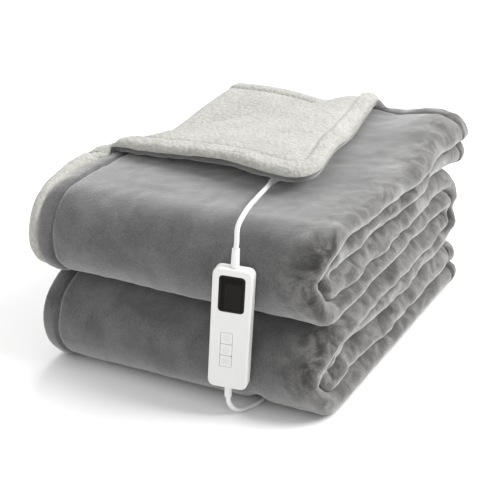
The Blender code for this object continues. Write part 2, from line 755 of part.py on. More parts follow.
def build_back_case(frame):
    """The back shell, with screw pillars and the other half of the cord notches."""
    depth = PARTING - GAP / 2
    size = (CASE_WIDTH, depth, CASE_LENGTH)
    outer = block(size, (0, -depth / 2, 0), 1, CASE_CORNER, CASE_EDGE, 1, steps=6)
    case = add_part("back_case", outer, "white_plastic", frame)
    hollow = (CASE_WIDTH - 2 * CASE_WALL, depth, CASE_LENGTH - 2 * CASE_WALL)
    middle = -CASE_WALL - depth / 2
    combine(case, "DIFFERENCE", [block(hollow, (0, middle, 0), 1, CASE_CORNER - CASE_WALL)])
    pillars = []
    for place in screw_places():
        pillars.append(cylinder(PILLAR_RADIUS, -depth, -CASE_WALL / 2, place, axis=1))
    combine(case, "UNION", pillars)
    holes = []
    for place in screw_places():
        holes.append(cylinder(SCREW_RADIUS + GAP, -CASE_DEPTH, 0.001, place, axis=1, sides=12))
        holes.append(cylinder(SCREW_HEAD + GAP, -SCREW_SINK, 0.001, place, axis=1))
    combine(case, "DIFFERENCE", holes + cord_notches())


def add_case_screws(frame):
    names = ("upper_left", "upper_right", "lower_left", "lower_right")
    for name, (x, z) in zip(names, screw_places()):
        profile = [
            (0.0, SCREW_HEAD_TALL),
            (SCREW_HEAD, SCREW_HEAD_TALL * 0.6),
            (SCREW_HEAD, 0.0),
            (SCREW_RADIUS, 0.0),
            (SCREW_RADIUS, -SCREW_LENGTH),
            (0.0, -SCREW_LENGTH - SCREW_RADIUS),
        ]
        screw = add_turned(f"case_screw_{name}", profile, "steel", frame, steps=12)
        screw.location = (x, GAP - SCREW_SINK, z)
        screw.rotation_euler = (-math.pi / 2, 0, 0)


def window_middle():
    return CASE_LENGTH / 2 - WINDOW_DROP - WINDOW[1] / 2


def key_middle(number):
    top = CASE_LENGTH / 2 - KEYS_DROP
    return top - KEY_HEIGHT / 2 - number * (KEY_HEIGHT + KEY_SPACE)


def build_display(frame):
    front = -CASE_DEPTH + 0.0001
    size = (WINDOW[0], GLASS_THICK, WINDOW[1])
    pane = block(size, (0, front + GLASS_THICK / 2, window_middle()), 1, WINDOW_CORNER)
    add_part("display_window", pane, "dark_glass", frame)
    back = front + GLASS_THICK + GAP
    thick = board_front() - GAP - back
    size = (WINDOW[0] - 0.002, thick, WINDOW[1] - 0.008)
    module = block(size, (0, back + thick / 2, window_middle()), 1)
    add_part("display_module", module, "black_plastic", frame)


def board_front():
    return -PARTING - GAP - BOARD_THICK


def build_board(frame):
    """The circuit board in the parting plane, with its power parts behind it."""
    front = board_front()
    size = (BOARD[0], BOARD_THICK, BOARD[1])
    board = block(size, (0, front + BOARD_THICK / 2, 0), 1)
    add_part("circuit_board", board, "board_green", frame)
    back = front + BOARD_THICK + GAP
    deep = -CASE_WALL - GAP - back
    parts = (
        ("heat_relay", (0.015, 0.019), (-0.006, 0.030), "black_plastic"),
        ("supply_capacitor", (0.018, 0.010), (0.004, 0.008), "fuse_ceramic"),
        ("line_fuse", (0.006, 0.020), (-0.010, -0.020), "fuse_ceramic"),
        ("heat_triac", (0.010, 0.012), (0.007, -0.030), "black_plastic"),
    )
    for name, (wide, tall), (x, z), finish in parts:
        body = block((wide, deep, tall), (x, back + deep / 2, z), 1, 0.0008, steps=1)
        add_part(name, body, finish, frame)


def build_keys(frame):
    """Three key caps in one opening, each over its own switch on the board."""
    face = -CASE_DEPTH
    cap_back = face + CASE_WALL + GAP
    switch_front = cap_back + KEY_FLANGE + KEY_STEM + KEY_TRAVEL + GAP
    for number, name in enumerate(("timer", "power", "heat")):
        z = key_middle(number)
        pivot = (KEY_ASIDE, face - KEY_PROUD, z)
        cap_depth = cap_back + KEY_FLANGE / 2 - pivot[1]
        size = (KEY_WIDTH, cap_depth, KEY_HEIGHT)
        cap = block(size, (0, cap_depth / 2, 0), 1, 0.0008, 0.0003, -1, steps=2)
        key = add_part(f"{name}_key", cap, "white_plastic", frame)
        key.location = pivot
        stem_front = cap_back - pivot[1] + KEY_FLANGE / 2
        rim = block((KEY_WIDTH + 0.003, KEY_FLANGE, KEY_HEIGHT), (0, stem_front, 0))
        stem_size = (0.004, KEY_FLANGE / 2 + KEY_STEM, 0.004)
        stem = block(stem_size, (0, stem_front + stem_size[1] / 2, 0))
        combine(key, "UNION", [rim, stem])
        thick = board_front() - GAP - switch_front
        size = (0.006, thick, 0.006)
        switch = block(size, (KEY_ASIDE, switch_front + thick / 2, z), 1, 0.0005, steps=1)
        add_part(f"{name}_switch", switch, "black_plastic", frame)


def grip_profile(outside, thick, thin, inside):
    """A cord grip: a collar inside the case, a neck in its wall and a tapered tail outside."""
    neck = CASE_WALL + 2 * GAP
    return [
        (BORE + thin, outside),
        (BORE + thick, GAP),
        (NECK_RADIUS, GAP),
        (NECK_RADIUS, GAP - neck),
        (COLLAR_RADIUS, GAP - neck),
        (COLLAR_RADIUS, GAP - neck - inside),
        (BORE, GAP - neck - inside),
        (BORE, outside),
    ]


def build_grips(frame):
    names = (("output_cord_grip", OUTPUT_GRIP, 1), ("supply_cord_grip", SUPPLY_GRIP, -1))
    for name, sizes, end in names:
        grip = add_turned(name, grip_profile(*sizes), "white_cord", frame, closed=True)
        grip.location = (0, -PARTING, end * CASE_LENGTH / 2)
        grip.rotation_euler = (0 if end > 0 else math.pi, 0, 0)


def build_control():
    frame = control_frame()
    build_front_case(frame)
    build_back_case(frame)
    add_case_screws(frame)
    build_display(frame)
    build_board(frame)
    build_keys(frame)
    build_grips(frame)
    return frame


# ---------------------------------------------------------------- cords, coil and plug


def build_output_cord(frame, connector_front, level):
    """The cord from the connector, over the front roll and down into the top of the control."""
    place = frame.matrix_world
    top = CASE_LENGTH / 2
    grip_end = top + OUTPUT_GRIP[0]
    boot = CONNECTOR_BOOT[0]
    boot_end = connector_front - boot
    across = (place @ Vector((0, -PARTING, grip_end))).x - SOCKET_X
    back = boot_end + PILE_DEPTH / 2
    starts = (boot + 0.0065, boot, boot / 2, 0)
    route = [(SOCKET_X, boot_end + start, level) for start in starts]
    for aside, behind, lift in OUTPUT_WAY:
        way = (SOCKET_X + aside * across, behind * back - PILE_DEPTH / 2, level + lift)
        route.append(way)
    route += [
        place @ Vector((0.0003, -PARTING, grip_end + 0.0065)),
        place @ Vector((0, -PARTING, grip_end)),
        place @ Vector((0, -PARTING, grip_end - 0.007)),
        place @ Vector((0, -PARTING, grip_end - 0.014)),
        place @ Vector((0, -PARTING, top - 0.006)),
    ]
    add_tube("output_cord", smooth_route(route, 4 * CORD_RADIUS), CORD_RADIUS, "white_cord")


def build_mains_lead(frame):
    """The lead from the foot of the control, along the floor and under the pile to the coil."""
    place = frame.matrix_world
    foot = -CASE_LENGTH / 2
    grip_end = foot - SUPPLY_GRIP[0]
    lowest = CORD_RADIUS + 2 * GAP
    coil_level = COIL_FLOOR + CORD_RADIUS
    side = COIL_HALF - 2 * CORD_RADIUS
    meets = math.sqrt((TURN_RADIUS + COIL_HALF) ** 2 - (TURN_RADIUS + side) ** 2)
    end = COIL_Y - meets - 2 * GAP
    reach = (foot + 0.011, foot + 0.002, foot - 0.006, grip_end, grip_end - 0.001)
    route = [place @ Vector((0, -PARTING, z)) for z in reach]
    leaves = route[-1]
    heading = Vector((LEAD_X - leaves.x, 0.034, 0)).normalized()
    drop = leaves.z - lowest
    for step in range(1, DROP_STEPS + 1):
        angle = math.pi / 2 * step / DROP_STEPS
        out = heading * drop * (1 - math.cos(angle))
        route.append(leaves + out + Vector((0, 0, -drop * math.sin(angle))))
    route += [
        (LEAD_X - 0.0010, route[-1].y + 0.020, lowest),
        (LEAD_X, route[-1].y + 0.038, lowest),
        (LEAD_X, -0.0500, lowest),
        (LEAD_X, 0.0500, lowest),
        (LEAD_X, 0.1500, lowest),
        (LEAD_X, PILE_DEPTH / 2, lowest),
        (LEAD_X, end - 0.012, coil_level),
        (LEAD_X, end, coil_level),
    ]
    add_tube("mains_lead", smooth_route(route, 4 * CORD_RADIUS), CORD_RADIUS, "white_cord")


def build_coil():
    """The spare lead as a coil of nine turns, held by a tie."""
    inner, outer = TURN_RADIUS - COIL_HALF, TURN_RADIUS + COIL_HALF
    low, high = COIL_FLOOR, COIL_FLOOR + 2 * COIL_HALF
    round_off = CORD_RADIUS / 2
    profile = [
        (outer - round_off, high),
        (outer, high - round_off),
        (outer, low + round_off),
        (outer - round_off, low),
        (inner + round_off, low),
        (inner, low + round_off),
        (inner, high - round_off),
        (inner + round_off, high),
    ]
    coil = add_turned("mains_coil", profile, "white_cord", closed=True, steps=32)
    coil.location = (COIL_X, COIL_Y, 0)
    band = COIL_FLOOR - GAP
    curve = COIL_TIE**2 / (8 * inner)
    room = 2 * (COIL_HALF + GAP + curve)
    size = (room + 2 * band, COIL_TIE, room + 2 * band)
    tie = add_part("coil_tie", block(size, axis=1, corner=0.002, steps=2), "black_plastic")
    combine(tie, "DIFFERENCE", [block((room, 2 * COIL_TIE, room), axis=1, corner=0.001, steps=1)])
    reach = Vector((math.cos(TIE_ANGLE), math.sin(TIE_ANGLE), 0)) * TURN_RADIUS
    tie.location = Vector((COIL_X, COIL_Y, size[2] / 2)) + reach
    tie.rotation_euler = (0, 0, TIE_ANGLE)


def build_plug():
    """A moulded three-pin plug lying on its cover, pins up, its cord entry towards the coil."""
    width, depth, height = PLUG_SIZE
    middle = (PLUG_X, PLUG_Y, height / 2)
    body = add_part("plug_body", block(PLUG_SIZE, middle, 2, 0.009, 0.003, -1), "white_plastic")
    pins = (
        ("earth", -PIN_SPREAD / 2 - 0.001, 0.0, (0.0040, 0.0080), 0.0227),
        ("line", PIN_SPREAD / 2 - 0.001, -PIN_SPREAD / 2, (0.0064, 0.0040), 0.0177),
        ("neutral", PIN_SPREAD / 2 - 0.001, PIN_SPREAD / 2, (0.0064, 0.0040), 0.0177),
    )
    holes = []
    for name, x, y, (wide, deep), length in pins:
        foot = height - PIN_SINK
        x, y = PLUG_X + x, PLUG_Y + y
        size = (wide, deep, PIN_SINK + length - GAP)
        pin = block(size, (x, y, foot + GAP + size[2] / 2), 2, 0.0004, 0.0008, 1, steps=1)
        add_part(f"{name}_pin", pin, "brass")
        hole = (wide + 2 * GAP, deep + 2 * GAP, 2 * PIN_SINK)
        holes.append(block(hole, (x, y, height)))
    carrier = (0.008, 0.026, 0.009)
    carrier_x = PLUG_X + PIN_SPREAD / 2 - 0.001 - 0.0120
    carrier_z = height - carrier[2] / 2 + 0.0002
    part = add_part("fuse_carrier", block(carrier, (carrier_x, PLUG_Y, carrier_z)), "white_plastic")
    fuse_hole = cylinder(0.0031, PLUG_Y - 0.02, PLUG_Y + 0.02, (carrier_x, carrier_z), 1)
    combine(part, "DIFFERENCE", [fuse_hole])
    fuse = {"centre": (carrier_x, carrier_z), "axis": 1, "sides": 12}
    reach = carrier[1] / 2 - 0.0004
    add_part("plug_fuse", cylinder(0.0028, PLUG_Y - reach, PLUG_Y + reach, **fuse), "fuse_ceramic")
    room = (carrier[0] + 2 * GAP, carrier[1] + 2 * GAP, 2 * carrier[2])
    holes.append(block(room, (carrier_x, PLUG_Y, height)))
    entry = PLUG_X + width / 2
    holes.append(cylinder(BORE, entry - 0.009, entry + 0.001, (PLUG_Y, PLUG_ENTRY), 0))
    combine(body, "DIFFERENCE", holes)
    boot = add_turned("plug_boot", boot_profile(*PLUG_BOOT), "white_cord", closed=True)
    boot.matrix_world = Matrix.Translation((entry + GAP, PLUG_Y, PLUG_ENTRY)) @ Matrix.Rotation(
        math.pi / 2, 4, "Y"
    )
    build_plug_tail(entry)


def build_plug_tail(entry):
    """The lead's last stretch, from the outer turn of the coil to the plug, in two even arcs."""
    aside = TURN_RADIUS + COIL_HALF - CORD_RADIUS
    meets = math.sqrt((TURN_RADIUS + COIL_HALF) ** 2 - (aside - CORD_RADIUS) ** 2)
    top_row = COIL_FLOOR + (2 * COIL_ROWS - 1) * CORD_RADIUS
    lowest = CORD_RADIUS + 2 * GAP
    start = Vector((COIL_X - meets - 2 * GAP, COIL_Y + aside, top_row))
    end = Vector((entry + PLUG_BOOT[0] + 0.004, PLUG_Y, PLUG_ENTRY))
    turn = 2 * math.atan2(start.y - end.y, start.x - end.x)
    radius = (start.x - end.x) / (2 * math.sin(turn))
    route = []
    for step in range(TAIL_STEPS + 1):
        share = step / TAIL_STEPS
        if share <= 0.5:
            angle = 2 * share * turn
            x, y = start.x - radius * math.sin(angle), start.y - radius * (1 - math.cos(angle))
        else:
            angle = 2 * (1 - share) * turn
            x, y = end.x + radius * math.sin(angle), end.y + radius * (1 - math.cos(angle))
        fall = lowest + (top_row - lowest) * smooth_step(1 - share / TAIL_DIP)
        rise = (PLUG_ENTRY - lowest) * smooth_step((share - TAIL_DIP) / (1 - TAIL_DIP))
        route.append((x, y, fall + rise))
    for inward in (0.004, 0.012, 0.020, 0.028, 0.036):
        route.append((end.x - inward, end.y, end.z))
    add_tube("plug_tail", smooth_route(route, 4 * CORD_RADIUS), CORD_RADIUS, "white_cord")


clear_scene()
PARTS = new_collection("heated_throw")
CUTTERS = new_collection("cutters", hidden=True)
MATERIALS = make_materials()

build_throw()
socket_base = top_of_pile(SOCKET_Y) + 0.0006
socket_front, cord_level = build_socket(socket_base)
connector_front = build_connector(socket_front, cord_level)
control = build_control()
bpy.context.view_layer.update()
build_output_cord(control, connector_front, cord_level)
build_mains_lead(control)
build_coil()
build_plug()
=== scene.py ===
import itertools
import math

import bpy
import numpy as np
from mathutils import Matrix, Vector


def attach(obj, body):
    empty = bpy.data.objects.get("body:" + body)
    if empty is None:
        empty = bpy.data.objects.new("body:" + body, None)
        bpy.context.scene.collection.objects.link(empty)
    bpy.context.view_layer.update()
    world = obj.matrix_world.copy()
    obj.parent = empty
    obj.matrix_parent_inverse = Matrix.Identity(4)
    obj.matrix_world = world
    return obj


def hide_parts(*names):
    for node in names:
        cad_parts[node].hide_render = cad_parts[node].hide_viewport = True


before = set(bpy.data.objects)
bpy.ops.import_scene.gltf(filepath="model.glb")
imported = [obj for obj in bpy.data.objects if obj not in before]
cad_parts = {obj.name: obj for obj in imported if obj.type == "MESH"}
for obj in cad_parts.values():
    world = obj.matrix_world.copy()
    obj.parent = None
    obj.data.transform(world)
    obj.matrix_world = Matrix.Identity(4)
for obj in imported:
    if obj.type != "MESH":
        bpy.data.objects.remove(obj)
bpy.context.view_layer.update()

# ---------------------------------------------------------------- sizes, in metres

# The folded cloth, as the CAD model folds it
CLOTH_WIDTH = 1.300
CLOTH_LENGTH = 1.600
CLOTH_CORNER = 0.030
HALF_CLOTH = 0.0059
PLUSH_INSIDE = -0.0002
SHERPA_INSIDE = -0.0004
CARRIER_LEVELS = (0.0003, 0.0013)
WIRE_LEVEL = -0.0009
WIRE_RADIUS = 0.0009
WIRE_TURN = 0.033
WIRE_INSET = 0.070
WIRE_START = 0.080
CARRIER_INSET = 0.012
LAYER_PITCH = 0.0122
STACK_PITCH = 0.0494
PILE_WIDTH = (CLOTH_WIDTH + (6 - 1.5 * math.pi) * LAYER_PITCH) / 4
PILE_DEPTH = (CLOTH_LENGTH + (6 - 1.5 * math.pi) * STACK_PITCH) / 4
PILE_HEIGHT = 0.20
FLOOR = 0.0005
ABOVE_FLOOR = 0.0003
BACK_RISE = 0.050
CREASE_START = np.array([0.0, 0.292])
CREASE_END = np.array([0.242, 0.0])
TIP = np.array([0.266, 0.315]) - CREASE_START
CREASE_RADII = (0.0067, 0.0080)
CREASE_OPENS = 0.120
FLAP_REST = 0.0010
SOCKET = np.array([0.051, -0.030])
ROOM_RADIUS = 0.040
ROOM_FADE = (0.190, 0.060)
ROOM_LIFT = 0.0265
LEAD_X = 0.084
GROOVE_HEIGHT = 0.0062
GROOVE_FLAT = 0.0042
GROOVE_FOOT = 0.0140

# Hem: width of the puffy edge, depth and half-width of the stitched groove, length of a stitch
HEM = 0.0200
HEM_PUFF = 0.0016
HEM_GROOVE = 0.0021
GROOVE_WIDE = 0.0018
STITCH = 0.0036
STITCH_STEP = 0.0052

# The sherpa's round rim at the left shoulder: cloth in its round, where it ends, and its middle's place
RIM_ROUND = 0.014
RIM_END = 0.032
RIM_OUT = 0.0035

# Hand control
CONTROL = Matrix((
    (0.976622, -0.207912, 0.054602, 0.0693),
    (0.207588, 0.978148, 0.011606, -0.212409),
    (-0.055821, 0.0, 0.998441, 0.1008),
    (0, 0, 0, 1),
))
KEYS = {"timer_button": -0.00925, "power_button": -0.02165, "heat_button": -0.03405}
KEY_ASIDE = -0.0026
KEY_FACE = -0.0140
WINDOW_MIDDLE = 0.03795

# Cords
CORD_RADIUS = 0.0025
OUTPUT_ROUTE = (
    (0.051, -0.0668, 0.2062), (0.051, -0.0733, 0.2062), (0.051, -0.0823, 0.2062),
    (0.051, -0.0913, 0.2062), (0.0524, -0.1009, 0.2057), (0.0527, -0.1118, 0.2042),
    (0.0546, -0.1278, 0.2038), (0.059, -0.1448, 0.2058), (0.0646, -0.1629, 0.2093),
    (0.0702, -0.18, 0.2125), (0.0741, -0.1949, 0.2135), (0.0756, -0.206, 0.211),
    (0.0756, -0.2145, 0.2048), (0.0758, -0.2174, 0.1899), (0.0751, -0.2175, 0.1834),
    (0.0747, -0.2176, 0.1764), (0.0743, -0.2177, 0.1694), (0.0737, -0.2178, 0.1585),
)
LEAD_ROUTE = (
    (0.0677, -0.2191, 0.0481), (0.0672, -0.2192, 0.0391), (0.0668, -0.2193, 0.0312),
    (0.0664, -0.2194, 0.0246), (0.0664, -0.2194, 0.0236), (0.0668, -0.2185, 0.0172),
    (0.0682, -0.2159, 0.0115), (0.0703, -0.2119, 0.007), (0.0729, -0.2068, 0.0041),
    (0.0758, -0.2012, 0.0031), (0.083, -0.1812, 0.0031), (0.084, -0.1632, 0.0031),
    (0.084, -0.05, 0.0031), (0.084, 0.05, 0.0031), (0.084, 0.15, 0.0031),
    (0.084, 0.208, 0.0031), (0.084, 0.2313, 0.0038), (0.084, 0.2433, 0.0038),
)
TAIL_ROUTE = (
    (0.0329, 0.2945, 0.0138), (0.0229, 0.2936, 0.0125), (0.0133, 0.291, 0.0094),
    (0.0042, 0.2869, 0.006), (-0.0041, 0.2812, 0.0035), (-0.0123, 0.2755, 0.0034),
    (-0.0214, 0.2714, 0.0053), (-0.031, 0.2688, 0.0078), (-0.041, 0.268, 0.009),
    (-0.045, 0.268, 0.009), (-0.053, 0.268, 0.009), (-0.061, 0.268, 0.009),
    (-0.069, 0.268, 0.009), (-0.077, 0.268, 0.009),
)
COIL_MIDDLE = (0.0515, 0.262)
COIL_RADII = (0.0225, 0.0275, 0.0325)
COIL_LEVELS = (0.0038, 0.0088, 0.0138)
COIL_ORDER = ((2, 0), (2, 1), (1, 1), (1, 0), (0, 0), (0, 1), (0, 2), (1, 2), (2, 2))

# ---------------------------------------------------------------- camera


def add_camera(target, azimuth, elevation, distance, lens):
    data = bpy.data.cameras.new("camera")
    data.lens = lens
    data.sensor_width = 36
    camera = bpy.data.objects.new("camera", data)
    bpy.context.scene.collection.objects.link(camera)
    a = math.radians(azimuth)
    e = math.radians(elevation)
    back = Vector((math.sin(a) * math.cos(e), -math.cos(a) * math.cos(e), math.sin(e)))
    camera.location = Vector(target) + back * distance
    camera.rotation_euler = (-back).to_track_quat("-Z", "Y").to_euler()
    bpy.context.scene.camera = camera


add_camera((-0.020, 0, 0.083), 26.80, 22.69, 1.4097, 88.25)

# ---------------------------------------------------------------- materials


def put(tree, kind, settings=None, **sockets):
    """Add a node. Its sockets are named with _ for a space, or as in_0, and take a value or a link."""
    node = tree.nodes.new(kind)
    for name, value in (settings or {}).items():
        setattr(node, name, value)
    for name, value in sockets.items():
        socket = node.inputs[int(name[3:]) if name.startswith("in_") else name.replace("_", " ")]
        if isinstance(value, bpy.types.NodeSocket):
            tree.links.new(value, socket)
        else:
            socket.default_value = value
    return node


class Finish:
    """A material under construction, with its shader and its object coordinates."""

    def __init__(self, name, **shader):
        self.material = bpy.data.materials.new(name)
        self.material.use_nodes = True
        self.tree = self.material.node_tree
        self.shader = self.tree.nodes["Principled BSDF"]
        self.place = put(self.tree, "ShaderNodeTexCoord").outputs["Object"]
        self.bump = None
        for socket, value in shader.items():
            self.shader.inputs[socket.replace("_", " ")].default_value = value

    def noise(self, per_metre, detail=2.0, rough=0.5, warp=0.0):
        node = put(self.tree, "ShaderNodeTexNoise", Vector=self.place, Scale=per_metre, Detail=detail,
                   Roughness=rough, Distortion=warp)
        return node.outputs[0]

    def cells(self, per_metre, feature="F1"):
        node = put(self.tree, "ShaderNodeTexVoronoi", {"feature": feature}, Vector=self.place,
                   Scale=per_metre)
        return node.outputs["Distance"]

    def ramp(self, value, *stops):
        node = put(self.tree, "ShaderNodeValToRGB", Fac=value)
        ramp = node.color_ramp
        while len(ramp.elements) < len(stops):
            ramp.elements.new(0.5)
        for element, (place, colour) in zip(ramp.elements, stops):
            element.position = place
            element.color = (*colour, 1)
        return node.outputs[0]

    def curve(self, value, low, high, bottom=0.0, top=1.0):
        node = put(self.tree, "ShaderNodeMapRange", {"interpolation_type": "SMOOTHSTEP"}, Value=value,
                   From_Min=low, From_Max=high, To_Min=bottom, To_Max=top)
        return node.outputs[0]

    def mix(self, share, first, second, blend="MIX"):
        node = put(self.tree, "ShaderNodeMix", {"data_type": "RGBA", "blend_type": blend}, in_0=share,
                   in_6=first, in_7=second)
        return node.outputs[2]

    def math(self, how, first, second):
        return put(self.tree, "ShaderNodeMath", {"operation": how}, in_0=first, in_1=second).outputs[0]

    def colour(self, value):
        self.tree.links.new(value, self.shader.inputs["Base Color"])

    def set(self, socket, value):
        self.tree.links.new(value, self.shader.inputs[socket])

    def raise_by(self, height, distance, strength=1.0):
        """Add a bump on top of the ones already there."""
        more = {} if self.bump is None else {"Normal": self.bump}
        node = put(self.tree, "ShaderNodeBump", Height=height, Distance=distance, Strength=strength, **more)
        self.bump = node.outputs[0]
        self.tree.links.new(self.bump, self.shader.inputs["Normal"])


def grey(value):
    return (value, value, value)


def plush_finish():
    """Short grey pile, crushed in soft patches and more so along the folded side."""
    made = Finish("grey_plush", Roughness=0.95, Sheen_Weight=0.80, Sheen_Roughness=0.50,
                  Sheen_Tint=(0.93, 0.93, 0.92, 1), Specular_IOR_Level=0.10)
    patches = made.ramp(made.noise(30, 3, 0.55, 0.5), (0.28, (0.092, 0.092, 0.095)),
                        (0.50, (0.130, 0.130, 0.131)), (0.72, (0.170, 0.170, 0.169)))
    pile = made.ramp(made.noise(560, 4, 0.80), (0.34, grey(0.56)), (0.66, grey(1.04)))
    crushed = made.ramp(made.noise(48, 4, 0.62, 1.0), (0.38, (0.24, 0.229, 0.214)),
                        (0.50, (0.66, 0.645, 0.615)), (0.62, (1.30, 1.275, 1.225)))
    across = put(made.tree, "ShaderNodeSeparateXYZ", Vector=made.place).outputs[0]
    beside = made.curve(across, 0.100, 0.155)
    side = made.mix(beside, (0.80, 0.80, 0.80, 1), crushed)
    made.colour(made.mix(1.0, made.mix(1.0, patches, pile, "MULTIPLY"), side, "MULTIPLY"))
    made.raise_by(made.noise(60, 2, 0.5, 0.3), 0.0012, 0.35)
    made.raise_by(made.noise(420, 3, 0.65), 0.0008, 0.6)
    made.raise_by(made.noise(1500, 2, 0.6), 0.0005, 0.8)
    return made.material


def sherpa_finish():
    """Curly off-white pile in small tufts, with painted shade between them: a little darker and warmer there.
    """
    made = Finish("cream_sherpa", Roughness=0.92, Sheen_Weight=0.15, Sheen_Roughness=0.5,
                  Specular_IOR_Level=0.10, Subsurface_Weight=0.15, Subsurface_Scale=0.004,
                  Subsurface_Radius=(1.0, 0.92, 0.82))
    tufts = made.cells(270, "SMOOTH_F1")
    # Painted shade: the colour turns darker and warmer away from each tuft's middle, as shade in the crevices
    # between tufts
    painted_tuft_shade = made.ramp(tufts, (0.15, (0.44, 0.436, 0.408)), (0.70, (0.36, 0.354, 0.328)))
    patches = made.ramp(made.noise(26, 2), (0.35, grey(0.93)), (0.65, grey(1.04)))
    made.colour(made.mix(1.0, painted_tuft_shade, patches, "MULTIPLY"))
    made.raise_by(made.curve(tufts, 0.75, 0.05), 0.0016, 0.55)
    made.raise_by(made.noise(800, 4, 0.7, 0.3), 0.0009, 0.6)
    return made.material


def felt_finish():
    made = Finish("nonwoven", Roughness=0.9, Sheen_Weight=0.2)
    made.colour(made.ramp(made.noise(600, 4, 0.7), (0.3, grey(0.62)), (0.7, grey(0.80))))
    made.raise_by(made.noise(1200, 3, 0.7), 0.0002, 0.6)
    return made.material


def plastic_finish(name, light, dark, rough, grain, depth, **more):
    """Moulded plastic: fine spark texture, slow change of gloss and faint handling marks."""
    made = Finish(name, IOR=1.49, **more)
    made.colour(made.ramp(made.noise(28, 3), (0.3, dark), (0.7, light)))
    smear = made.noise(55, 4, 0.6, 0.8)
    made.set("Roughness", made.curve(smear, 0.25, 0.8, rough - 0.05, rough + 0.09))
    made.raise_by(made.noise(grain, 2, 0.5), depth, 0.5)
    return made.material


def glass_finish():
    """The display: black gloss with a dark brown rim, and a satin panel behind its lower right part."""
    made = Finish("dark_glass", Specular_IOR_Level=0.07, Coat_Weight=0.02, Coat_Roughness=0.04)
    turned = put(made.tree, "ShaderNodeMapping", {"vector_type": "TEXTURE"}, Vector=made.place,
                 Location=CONTROL.translation, Rotation=CONTROL.to_euler()).outputs[0]
    apart = put(made.tree, "ShaderNodeSeparateXYZ", Vector=turned)

    def band(value, middle, half, soft):
        away = made.math("ABSOLUTE", made.math("SUBTRACT", value, middle), 0.0)
        return made.curve(away, half, half - soft)

    across, _, up = apart.outputs
    panel = made.math("MULTIPLY", band(across, 0.0013, 0.0084, 0.0003),
                      band(up, WINDOW_MIDDLE - 0.0026, 0.0135, 0.0003))
    inside = made.math("MULTIPLY", band(across, 0.0, 0.0114, 0.0006),
                       band(up, WINDOW_MIDDLE, 0.0174, 0.0006))
    rim = made.ramp(made.noise(40, 2), (0.3, (0.016, 0.011, 0.008)), (0.7, (0.021, 0.014, 0.011)))
    face = made.mix(inside, rim, (0.0045, 0.0040, 0.0036, 1))
    made.colour(made.mix(panel, face, (0.0110, 0.0100, 0.0095, 1)))
    dust = made.noise(90, 4, 0.6)
    made.set("Roughness", made.math("ADD", made.curve(dust, 0.3, 0.8, 0.07, 0.17),
                                    made.math("MULTIPLY", panel, 0.12)))
    return made.material


def metal_finish(name, light, dark, rough):
    made = Finish(name, Metallic=1.0)
    made.colour(made.ramp(made.noise(160, 3), (0.3, dark), (0.7, light)))
    made.set("Roughness", made.curve(made.noise(420, 4, 0.65, 0.4), 0.3, 0.75, rough - 0.06, rough + 0.14))
    made.raise_by(made.noise(1800, 2), 0.00006, 0.5)
    return made.material


def board_finish():
    """Green solder mask with a faint weave and paler copper runs under it."""
    made = Finish("board_green", Specular_IOR_Level=0.5)
    runs = made.curve(made.cells(210, "DISTANCE_TO_EDGE"), 0.06, 0.11)
    made.colour(made.mix(runs, (0.050, 0.170, 0.075, 1), (0.016, 0.086, 0.042, 1)))
    made.set("Roughness", made.curve(made.noise(300, 3), 0.3, 0.7, 0.28, 0.42))
    made.raise_by(made.noise(900, 2), 0.00005, 0.5)
    return made.material


FINISHES = {
    "grey_plush": plush_finish(),
    "cream_sherpa": sherpa_finish(),
    "nonwoven": felt_finish(),
    "white_plastic": plastic_finish("white_plastic", (0.68, 0.682, 0.67), (0.64, 0.642, 0.63),
                                    0.36, 2600, 0.00005, Specular_IOR_Level=0.45),
    "white_cord": plastic_finish("white_cord", (0.72, 0.72, 0.72), (0.67, 0.67, 0.665),
                                 0.42, 1500, 0.00010, Specular_IOR_Level=0.4),
    "black_plastic": plastic_finish("black_plastic", grey(0.030), grey(0.020), 0.42, 1800, 0.00006),
    "heating_wire": plastic_finish("heating_wire", (0.78, 0.76, 0.72), (0.68, 0.66, 0.61),
                                   0.5, 1500, 0.00008),
    "fuse_ceramic": plastic_finish("fuse_ceramic", (0.74, 0.71, 0.64), (0.66, 0.63, 0.57),
                                   0.30, 1400, 0.00006),
    "dark_glass": glass_finish(),
    "board_green": board_finish(),
    "steel": metal_finish("steel", (0.62, 0.61, 0.60), (0.48, 0.47, 0.46), 0.30),
    "brass": metal_finish("brass", (0.72, 0.53, 0.24), (0.58, 0.41, 0.17), 0.26),
}
ICON = plastic_finish("key_print", (0.60, 0.605, 0.61), (0.54, 0.545, 0.55), 0.5, 1500, 0.00003)
THREAD = plastic_finish("hem_thread", (0.120, 0.121, 0.125), (0.090, 0.091, 0.094), 0.8, 2400, 0.0002)
PALE_THREAD = plastic_finish("pale_thread", (0.66, 0.64, 0.60), (0.56, 0.54, 0.50), 0.8, 2400, 0.0002)


def add_piece(name, data, finish, body):
    piece = bpy.data.objects.new(name, data)
    bpy.context.scene.collection.objects.link(piece)
    data.materials.append(finish)
    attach(piece, body)
    return piece


# ---------------------------------------------------------------- cords


